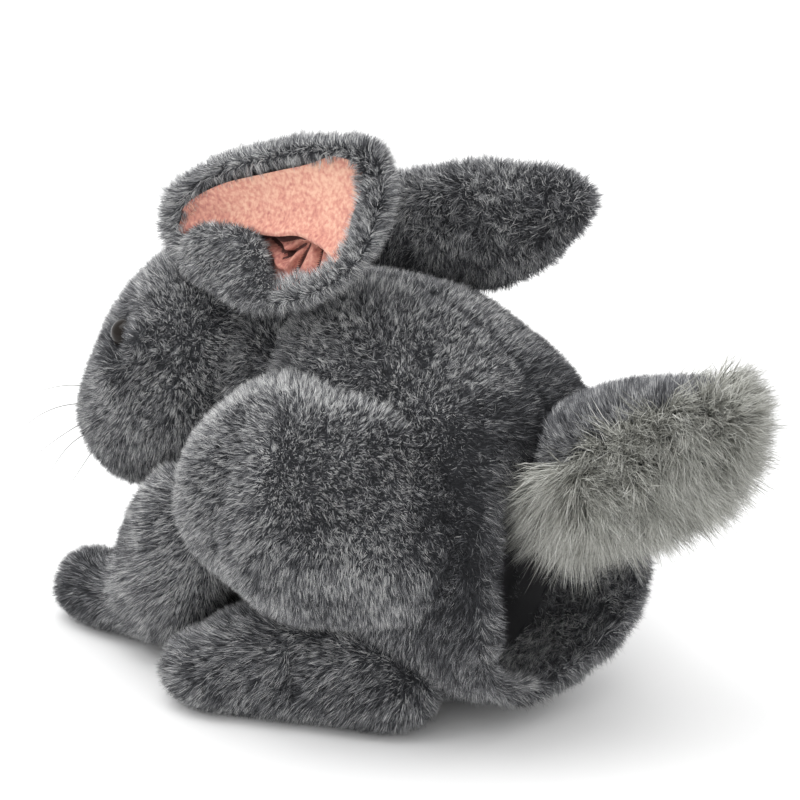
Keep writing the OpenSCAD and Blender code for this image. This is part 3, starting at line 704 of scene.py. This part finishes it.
for side, word in BOTH_SIDES:
    v = limb_grid(FORELEG, side)
    v = shaped(v, creases=[(np.multiply(a, (side, 1, 1)), np.multiply(b, (side, 1, 1)), -4.0, 3.0)
                           for a, b in (((38, -99, 46), (52, -93, 32)), ((52, -93, 32), (57, -91, 10)))])
    v = wobble(v, 22, 1.4, 8, side)
    v[..., 2] = np.maximum(v[..., 2], 0.6)
    s = skin(f"foreleg_cloth_{word}", v, BACKING)
    ride(s["obj"], f"foreleg_{word}")
    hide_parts(f"foreleg_skin_{word}", f"foreleg_stuffing_{word}", f"foreleg_pocket_{word}")
    keep = clear_of(lambda p: in_loft(p, BODY, -8), lambda p: in_loft(p, CHEST, -8),
                    lambda p: p[:, 2] < 1.2)
    # Painted shade: the foreleg's pile darkens towards the front of the paw.
    pile(f"foreleg_pile_{word}", f"foreleg_{word}", s, along((0.1 * side, -0.75, -0.6)), keep, long=5.8,
         light=0.06, shade=lambda p: -0.3 * np.clip((-98 - p[:, 1]) / 16, 0, 1))
    v = limb_grid(FOOT, side)
    v = shaped(v, creases=[(np.multiply(a, (side, 1, 1)), np.multiply(b, (side, 1, 1)), depth, wide)
                           for a, b, depth, wide in FOOT_CREASES])
    v = wobble(v, 22, 1.4, 9, side)
    v[..., 2] = np.maximum(v[..., 2], 0.6)
    s = skin(f"foot_cloth_{word}", v, BACKING)
    ride(s["obj"], f"hind_foot_{word}")
    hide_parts(f"foot_skin_{word}", f"foot_stuffing_{word}")
    keep = clear_of(lambda p: in_loft(p, BODY, -10), lambda p: p[:, 2] < 1.2)
    pile(f"foot_pile_{word}", f"hind_foot_{word}", s, along((0.35 * side, -0.8, -0.45)), keep, long=6.2,
         light=-0.1)

# ---------------------------------------------------------------- tail

TAIL_AXIS = unit([0, 0.88, 0.47])
TAIL_SOFT_END = 200     # hair that reaches further back than this is shortened
tail_grid = capped(loft(TAIL, np.linspace(101, 181, 60), 72), 2.4, ends=(1,))
tail = skin("tail_cloth", tail_grid, PALE_BACKING)
ride(tail["obj"], "tail")
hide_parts("tail_top", "tail_underside", "tail_stuffing")


def on_band(p, at):
    """On the dark band along the top of the tail, which narrows to the tip."""
    _, zc, h = loft_at(TAIL, p[:, 1])
    a = np.degrees(np.arctan2(np.abs(p[:, 0]), (p[:, 2] - zc) * 0.9))
    return a < 112 * (1 - at) ** 0.8 - 8 + 14 * (noise(p, 6, 3) - 0.5)


def tail_band(p, q):
    """Short dark pile from roots p with normals q."""
    flow = unit(TAIL_AXIS * 1.0 + 0.3 * noise3(p, 12, 3) + 0.35 * rng.normal(size=p.shape))
    tip = p + unit(0.6 * flow + q) * (6 + 3 * rng.random(len(p)))[:, None]
    tip, _ = clumped(p, tip, 0.09, 0.3)
    level = noise(p, 5, 1) - 0.5 + 0.32 * rng.normal(size=len(p))
    tone = np.clip(np.round(2.2 + 3.6 * level), 0, 5).astype(int)
    o = strands("tail_band_pile", p, q, tip, np.zeros_like(p), 0.2 + 0.08 * rng.random(len(p)), tone,
                GREY_TONES)
    ride(o, "tail")


def tail_hair(p, q, at):
    """Long pale hair that leaves the root sideways, turns along the tail and droops a little."""
    stand = 1.25 - 0.75 * at[:, None] + 0.3 * rng.random((len(p), 1))
    at_root = np.clip(1 - at / 0.4, 0, 1)[:, None]
    flow = TAIL_AXIS * (0.1 + 0.9 * at[:, None]) + 0.7 * noise3(p, 18, 3) + 0.6 * noise3(p, 6, 5)
    flow = flow + at_root * [0, -0.75, -0.65]
    flow = unit(unit(flow + 0.5 * rng.normal(size=p.shape) + [0, 0, -0.22]) + q * stand)
    size = (17 + 15 * rng.random(len(p))) * (0.75 + 0.5 * noise(p, 9, 2))
    size = size * (1 - 0.4 * np.clip(at - 0.75, 0, 1))
    size = size * (1 + 0.28 * at_root[:, 0]) * np.where(rng.random(len(p)) < 0.07, 1.3, 1.0)
    tip, _ = clumped(p, p + flow * size[:, None], 0.035, 0.55)
    tip = tip + [0, 0, -2.0]
    tip[:, 1] = np.minimum(tip[:, 1], TAIL_SOFT_END + 0.45 * (tip[:, 1] - TAIL_SOFT_END))
    bend = q * 1.8 + 2.2 * noise3(p, 7, 6) + 1.3 * rng.normal(size=p.shape)
    level = 0.6 * noise(p, 8, 1) + 0.4 * noise(p, 3, 2) - 0.5 + 0.35 * rng.normal(size=len(p))
    tone = np.clip(np.round(2.3 + 3.4 * level), 0, 4).astype(int)
    for k in range(3):
        w = slice(k, None, 3)
        o = strands(f"tail_pile_{k + 1}", p[w], q[w], tip[w], bend[w], 0.2 + 0.08 * rng.random(len(p[w])),
                    tone[w], PALE_TONES, rings=2)
        ride(o, "tail")


p, q, at = scatter(tail, 4.6, clear_of(lambda p: in_loft(p, BODY, -4)))
dark = on_band(p, at)
kept = dark & (rng.random(len(p)) < 0.75)
tail_band(p[kept], q[kept])
tail_hair(p[~dark], q[~dark], at[~dark])

# ---------------------------------------------------------------- ears

# Each ear's root, its direction, the direction across it, the side that it opens to, the middle of its
# outline, how deep it is cupped, how far its edge curls, its cloth's flat size in metres, and its outline
EARS = {
    "left": {
        "base": [30, -68, 183], "dir": [0.02, 0.87, 0.48], "up": [-0.36, -0.44, 0.83], "side": 1,
        "middle": [54, 3], "cup": 9.0, "curl": 5.0, "cut": (0.080, 0.140),
        "edge": [(-9, 21), (-1, 31), (12, 36.5), (36, 38.5), (62, 35.5), (92, 29), (116, 18), (121, 4),
                 (115, -12), (103, -27), (80, -33), (57, -31), (36, -26), (18, -15), (4, -3), (-6, 9)],
    },
    "right": {
        "base": [-25, -53, 180], "dir": [-0.10, 0.96, 0.24], "up": [0.12, -0.20, 0.97], "side": -1,
        "middle": [75, 0], "cup": 12.0, "curl": 3.0, "cut": (0.062, 0.165),
        "edge": [(-6, -8), (-2, 10), (20, 19), (55, 24), (95, 26), (126, 23), (144, 17), (151, 9),
                 (145, -1), (131, -12), (112, -22), (80, -27), (40, -24), (10, -19)],
    },
}


def ear_frame(e):
    l = unit(np.array(e["dir"], float))
    u = np.array(e["up"], float)
    w = unit(u - l * (u @ l))
    return np.array(e["base"], float), l, w, np.array([e["side"], 0, 0.0])


def ear_point(e, a, b, off):
    """A point of the ear from its place along a and across b, and how far it stands to the open side."""
    base, l, w, out = ear_frame(e)
    cup = e["cup"] * (b / 33.0) ** 2
    return base + l * a[..., None] + w * b[..., None] + out * (cup + off)[..., None]


def ear_place(e, p):
    """The reverse of ear_point: a, b and off of each point p."""
    base, l, w, out = ear_frame(e)
    a, b, t = np.linalg.solve(np.stack([l, w, out], 1), (p - base).T)
    return a, b, t - e["cup"] * (b / 33.0) ** 2


def ear_core(e, k):
    """Where the middle of the ear's thickness stands, k from its middle (0) to its edge (1)."""
    return e["curl"] * k ** 5 - 3.9


for word, e in EARS.items():
    edge = closed_curve(e["edge"], 120)
    mid = np.array(e["middle"], float)
    ks = np.concatenate([np.linspace(0.02, 0.68, 16), np.linspace(0.71, 0.94, 14), [0.96, 0.975, 0.99, 1.0]])
    back, front = [], []
    for k in ks:
        q2 = mid + k * (edge - mid)
        core = ear_core(e, k)
        thick = math.sqrt(max(0, 1 - k**6))
        back.append(ear_point(e, q2[:, 0], q2[:, 1], core - 6.5 * thick))
        roll = np.clip((k - 0.7) / 0.16, 0, 1)
        rise = 10 * roll * roll * (3 - 2 * roll) - 3.5
        front.append(ear_point(e, q2[:, 0], q2[:, 1], core + rise * thick))
    grid = np.array(back + front[::-1][1:])
    grid = wobble(grid, 20, 0.8, 3)
    s = skin(f"ear_cloth_{word}", grid, BACKING)
    ear_body = f"ear_{word}"
    ride(s["obj"], ear_body)
    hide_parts(f"ear_back_{word}")

    if word == "left":
        pink = closed_curve([(0, 17), (4, 24), (14, 28), (33, 29), (52, 26.5), (68, 24), (84, 21.5),
                             (101, 20.5), (108, 16), (110.5, 9), (107, 1), (100, -8), (97, -17), (91, -24),
                             (77, -27), (56, -25), (36, -19), (14, -7), (4, 4)], 320)
    else:
        pink = mid + 0.82 * (edge - mid)
    e["pink"] = pink

    def on_pink(p, e=e, pink=pink, mid=mid, edge=edge):
        """On the open side of the ear, inside the outline of its lining."""
        a_, b_, off = ear_place(e, p)
        angle = np.arctan2(b_ - mid[1], a_ - mid[0])
        reach = np.hypot(a_ - mid[0], b_ - mid[1])

        def reach_of(outline):
            turns = np.arctan2(outline[:, 1] - mid[1], outline[:, 0] - mid[0])
            return np.interp(angle, turns, np.linalg.norm(outline - mid, axis=1), period=2 * math.pi)
        k = np.clip(reach / reach_of(edge), 0, 1)
        return (reach < reach_of(pink) - 2.2) & (off > ear_core(e, k) - 5 * np.sqrt(1 - k**6))

    def ear_comb(p, n, e=e, mid=mid):
        """Outwards on the open side, over the rim, and along the ear on its back."""
        _, l, w, out = ear_frame(e)
        a_, b_, _ = ear_place(e, p)
        radial = unit(np.outer(a_ - mid[0], l) + np.outer(b_ - mid[1], w))
        return radial * 1.3 * np.clip(n @ out + 0.2, 0, 1)[:, None] - out * 0.9 + l * 0.6
    fur = pile(f"ear_pile_{word}", ear_body, s, ear_comb,
         clear_of(on_pink, lambda p: in_loft(p, HEAD, -3), lambda p: in_loft(p, BODY, -3)),
         long=6.6, lift=0.95, density=4.4, light=0.1 if word == "left" else -0.1)

# Velour lining of the left ear: one cloth with a fold that hangs over its pleats
e = EARS["left"]
# The fold's lip: rows of [along the ear, across it]
FOLD = [[-5, 14.5], [11, 14.2], [35, 5.5], [56, -2.5], [68, -6], [78, -12], [86.5, -19], [93, -26]]


def lining_grid(e):
    """Places (a, b) over the lining's outline, and k, 0 at its middle to 1 at its edge."""
    mid = np.array(e["middle"], float)
    k = np.concatenate([np.linspace(0.004, 0.96, 150), [0.975, 0.99, 1.0]])
    return mid + k[:, None, None] * (e["pink"] - mid), k


# Pleats below the fold: from, to
PLEATS = [((57, -13), (67, -11)), ((70, -12), (60, -25)), ((77, -16), (76, -26)), ((48, -3), (60, -14))]


def line_gap(q, line):
    """Distance in the ear's plane from each place q to a line from one point to another."""
    p0, p1 = np.array(line, float)
    t = np.clip(((q - p0) @ (p1 - p0)) / ((p1 - p0) @ (p1 - p0)), 0, 1)[..., None]
    return np.linalg.norm(q - p0 - t * (p1 - p0), axis=-1)


def lining_offset(q, k):
    a_, b_ = q[..., 0], q[..., 1]
    fold_b = curve(FOLD, a_)[..., 0]
    below = fold_b - b_
    inside = np.clip(below / 1.0, 0, 1) * np.clip((a_ - 2) / 8, 0, 1) * np.clip((95 - a_) / 10, 0, 1)
    lip = 2.2 * np.exp(-((below + 2.2) / 3.0) ** 2)
    inside = inside * np.clip((1 - k) / 0.12, 0, 1)[:, None]
    deep = 6.4 * inside * np.exp(-np.clip(below, 0, 40) / 16)
    soft = 1.5 * (noise(np.stack([a_, b_, 0 * a_], -1), 24, 3) - 0.5) + 0.9 * (
        noise(np.stack([a_, b_, 0 * a_], -1), 9, 5) - 0.5)
    off = 3.4 + soft + lip - deep
    off = off - 1.4 * np.exp(-((b_ - 14 - 0.05 * a_) / 7) ** 2) * np.clip((80 - a_) / 40, 0, 1)
    for line in PLEATS:
        off = off + inside * (1.8 * np.exp(-((line_gap(q, line) - 3.2) / 1.8) ** 2)
                              - 3.4 * np.exp(-(line_gap(q, line) / 1.5) ** 2))
    return off + (0.45 * e["curl"] - 2.2) * k[:, None] ** 5


q, k = lining_grid(e)
off = lining_offset(q, k)
v = ear_point(e, q[..., 0], q[..., 1], off)
lining_left = skin("ear_lining_cloth_left", v, VELOUR, facing=(1, 0, 0))
ride(lining_left["obj"], "ear_left")
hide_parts("ear_lining_left")
# Painted shade on the velour: a darker copy under the fold, and a near-black copy in the slit below its lip
# and along the pleats
lining_left["obj"].data.materials.append(VELOUR_PAINTED_SHADE)
lining_left["obj"].data.materials.append(VELOUR_PAINTED_SLIT_SHADOW)
below = curve(FOLD, q[..., 0])[..., 0] - q[..., 1]
fits = (q[..., 0] > 6) & (q[..., 0] < 93) & (k[:, None] < 0.96)
pick = np.where(fits & (below > 0.3), 1, 0)
pick = np.where(fits & (below > 0.3) & (below < 3.4 * np.clip((84 - q[..., 0]) / 24, 0, 1)), 2, pick)
for line in PLEATS:
    pick = np.where(fits & (below > 0.3) & (line_gap(q, line) < 0.8), 2, pick)
lining_left["obj"].data.polygons.foreach_set("material_index", pick[:-1].ravel().astype(np.int32))

e = EARS["right"]
q, k = lining_grid(e)
soft = 2.0 * (noise(np.stack([q[..., 0], q[..., 1], 0 * q[..., 0]], -1), 20, 3) - 0.5)
v = ear_point(e, q[..., 0], q[..., 1], 3.4 + soft + (0.45 * e["curl"] - 2.2) * k[:, None] ** 5)
lining_right = skin("ear_lining_cloth_right", v, VELOUR, facing=(-1, 0, 0))
ride(lining_right["obj"], "ear_right")
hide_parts("ear_lining_right")

# The foot of the left ear is folded up over its opening, pile side out
e = EARS["left"]
LOBE = [(2, 6), (7, 13), (15, 14.5), (28, 11), (39, 6), (46, 0), (49, -8), (52, -16), (54, -23),
        (50, -29), (38, -26), (24, -18), (12, -9), (4, -2)]
n = 100
edge = closed_curve(LOBE, n)
mid = np.array([30.0, -6.0])
ks = np.linspace(0.03, 1, 30)
crown = [(k, 6.0 + 6.0 * math.sqrt(max(0, 1 - k**3.0))) for k in ks]
front = [ear_point(e, *(mid + k * (edge - mid)).T, np.full(n, height)) for k, height in crown]
back = [ear_point(e, *(mid + k * (edge - mid)).T, np.full(n, 5.0)) for k in (0.97, 0.8, 0.5)]
grid = wobble(np.array(front + back), 18, 1.2, 3)
lobe = skin("ear_lobe_cloth_left", grid, BACKING)
ride(lobe["obj"], "ear_left")
pile("ear_lobe_pile_left", "ear_left", lobe, along((0.1, 0.55, -0.85)),
     clear_of(lambda p: in_loft(p, HEAD, -3)), long=4.4, lift=0.8, light=0.04)

# ---------------------------------------------------------------- face

EYE_MAT = material("eye_gloss", (0.006, 0.004, 0.003), 0.1, Specular_IOR_Level=0.2)
nt = EYE_MAT.node_tree
ring_tex = nt.nodes.new("ShaderNodeTexNoise")
ring_tex.inputs["Scale"].default_value = 260
ring_ramp = nt.nodes.new("ShaderNodeValToRGB")
ring_ramp.color_ramp.elements[0].color = (0.004, 0.003, 0.002, 1)
ring_ramp.color_ramp.elements[1].color = (0.012, 0.007, 0.004, 1)
nt.links.new(ring_tex.outputs["Fac"], ring_ramp.inputs["Fac"])
nt.links.new(ring_ramp.outputs["Color"], nt.nodes["Principled BSDF"].inputs["Base Color"])
NOSE = cloth_material("nose_velour", [(0.3, (0.20, 0.10, 0.09)), (0.7, (0.34, 0.18, 0.17))], 120, bump=0.4)
THREAD = cloth_material("thread", [(0.3, (0.02, 0.02, 0.022)), (0.7, (0.06, 0.06, 0.065))], 300, bump=0.5)
for word in ("left", "right"):
    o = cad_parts[f"eye_{word}"]
    o.data.materials.clear()
    o.data.materials.append(EYE_MAT)
for node, m in (("nose", NOSE), ("mouth_stitch", THREAD), ("spine_seam", THREAD)):
    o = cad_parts[node]
    o.data.materials.clear()
    o.data.materials.append(m)

WHISKER = material("whisker", (0.30, 0.30, 0.29), 0.35)
# Each whisker on a cheek: root, direction and length
WHISKERS = [((24, -131, 108), (0.86, -0.20, 0.40), 40), ((25.5, -130, 102), (0.95, -0.16, 0.18), 46),
            ((26, -129, 96), (0.93, -0.10, 0.02), 43), ((25.5, -128, 91), (0.88, -0.05, -0.16), 38),
            ((24, -128, 86), (0.80, -0.02, -0.30), 30)]
WHISKER_STEPS, WHISKER_SIDES = 14, 5


def whisker_rings(side, k, root, direction, long):
    """A tapering tube along a whisker that droops and sways; every other one sways back."""
    u = np.linspace(0, 1, WHISKER_STEPS)[:, None]
    radius = 0.30 * (1 - 0.75 * u)
    path = (np.array(root) + unit(direction) * long * u + [0, 0, -9] * u**2
            + [0, 3.0 * (-1) ** k, 2] * np.sin(u * 3.1) * 0.8)
    path = path * [side, 1, 1]
    t = unit(np.gradient(path, axis=0))
    x = unit(np.cross(t, [0, 0, 1.0]))
    y = np.cross(x, t)
    ang = np.arange(WHISKER_SIDES) * 2 * math.pi / WHISKER_SIDES
    round_it = x[:, None] * np.cos(ang)[:, None] + y[:, None] * np.sin(ang)[:, None]
    return (path[:, None] + radius[:, None] * round_it).reshape(-1, 3)


for side, word in BOTH_SIDES:
    tubes = [whisker_rings(side, k, *whisker) for k, whisker in enumerate(WHISKERS)]
    faces = np.concatenate([grid_faces(WHISKER_STEPS, WHISKER_SIDES) + k * len(tubes[0])
                            for k in range(len(tubes))])
    o = mesh_object(f"whisker_set_{word}", np.concatenate(tubes), faces, np.full(len(faces), 4), [WHISKER])
    ride(o, "head")
    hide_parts(f"whiskers_{word}")

# ---------------------------------------------------------------- camera, light and floor

SCENE = bpy.context.scene
FLOOR_SIZE = 3000       # half its side
VIEW_FAR = 1.5          # camera to aim, in metres
VIEW_HALF = 0.176       # half the width that it sees there
az, el = math.radians(125), math.radians(22)
back = Vector((math.sin(az) * math.cos(el), -math.cos(az) * math.cos(el), math.sin(el)))
right = Vector((math.cos(az), math.sin(az), 0))
up = back.cross(right)
aim = Vector((0, SHIFT * MM, 0.095)) + right * 0.0167 + up * 0.0282
cam = bpy.data.objects.new("camera", bpy.data.cameras.new("camera"))
SCENE.collection.objects.link(cam)
cam.location = aim + back * VIEW_FAR
cam.rotation_euler = (-back).to_track_quat("-Z", "Y").to_euler()
cam.data.sensor_fit = "HORIZONTAL"
cam.data.angle = 2 * math.atan(VIEW_HALF / VIEW_FAR)
SCENE.camera = cam

FLOOR = cloth_material("floor_paper", [(0.3, (0.90, 0.90, 0.90)), (0.7, (0.93, 0.93, 0.93))], 3,
                       rough=0.9, bump=0.02)
floor_corners = np.array([(-1, -1, 0), (1, -1, 0), (1, 1, 0), (-1, 1, 0)], float) * FLOOR_SIZE
floor = mesh_object("floor", floor_corners, [[0, 1, 2, 3]], [4], [FLOOR])
world = bpy.data.worlds.new("studio")
SCENE.world = world
world.use_nodes = True
nt = world.node_tree
sky = nt.nodes["Background"]
sky.inputs["Color"].default_value = (1, 1, 1, 1)
sky.inputs["Strength"].default_value = 1.16
seen = nt.nodes.new("ShaderNodeBackground")
seen.inputs["Strength"].default_value = 1.0
path = nt.nodes.new("ShaderNodeLightPath")
pick = nt.nodes.new("ShaderNodeMixShader")
nt.links.new(path.outputs["Is Camera Ray"], pick.inputs[0])
nt.links.new(sky.outputs[0], pick.inputs[1])
nt.links.new(seen.outputs[0], pick.inputs[2])
nt.links.new(pick.outputs[0], nt.nodes["World Output"].inputs["Surface"])
SCENE.view_settings.view_transform = "Standard"


def lamp(name, at, size, power):
    data = bpy.data.lights.new(name, "AREA")
    data.size = size
    data.energy = power
    o = bpy.data.objects.new(name, data)
    SCENE.collection.objects.link(o)
    o.location = at
    o.rotation_euler = (Vector((0, 0, 0.1)) - Vector(at)).to_track_quat("-Z", "Y").to_euler()


lamp("key", tuple(aim - right * 0.75 + back * 0.35 + Vector((0, 0, 1.45))), 1.1, 10)
lamp("top", (0, 0, 1.9), 1.6, 9)

print("pile strands:", sum(len(o.data.polygons) for o in FUR), "triangles in", len(FUR), "pieces")
